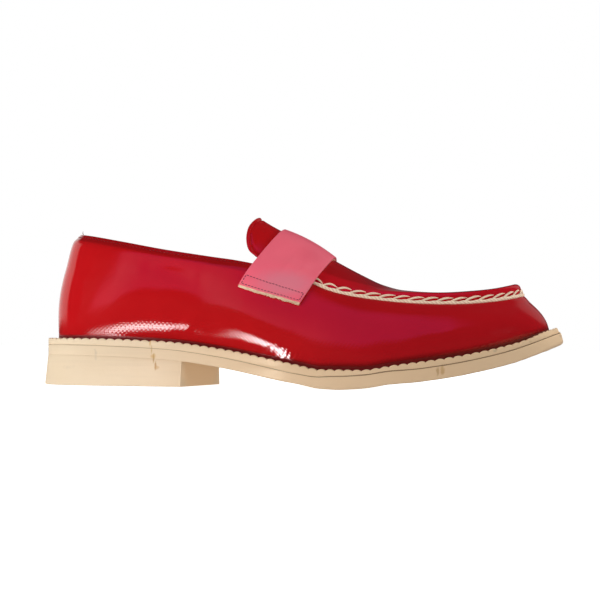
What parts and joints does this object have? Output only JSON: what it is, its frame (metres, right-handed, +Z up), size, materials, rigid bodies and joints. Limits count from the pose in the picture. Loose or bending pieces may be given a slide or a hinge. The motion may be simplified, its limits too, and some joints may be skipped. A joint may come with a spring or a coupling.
{
  "type": "loafer",
  "caption": "Slip-on moccasin-toe loafer with raised apron, free tongue, saddle strap, notched welt, outsole with toe spring and block heel; hollow, standing on its sole.",
  "frame": {"origin": "on the floor, under the middle of the shoe's box", "axes": "+X to the toe, +Y to the inner side of the foot, +Z up"},
  "size_m": [0.3001, 0.1061, 0.0972],
  "materials": {
    "cream_sole": "matt cream, lightly marked",
    "cream_welt": "matt cream with a wheeled top edge",
    "tan_insole": "smooth matt",
    "red_gloss": "gloss coated with a fine crossed grain",
    "pink_strap": "smooth satin"
  },
  "bodies": {
    "root": {"heel": "cream_sole", "outsole": "cream_sole", "welt": "cream_welt", "insole": "tan_insole", "upper": "red_gloss", "apron": "red_gloss", "strap": "pink_strap"}
  },
  "joints": []
}
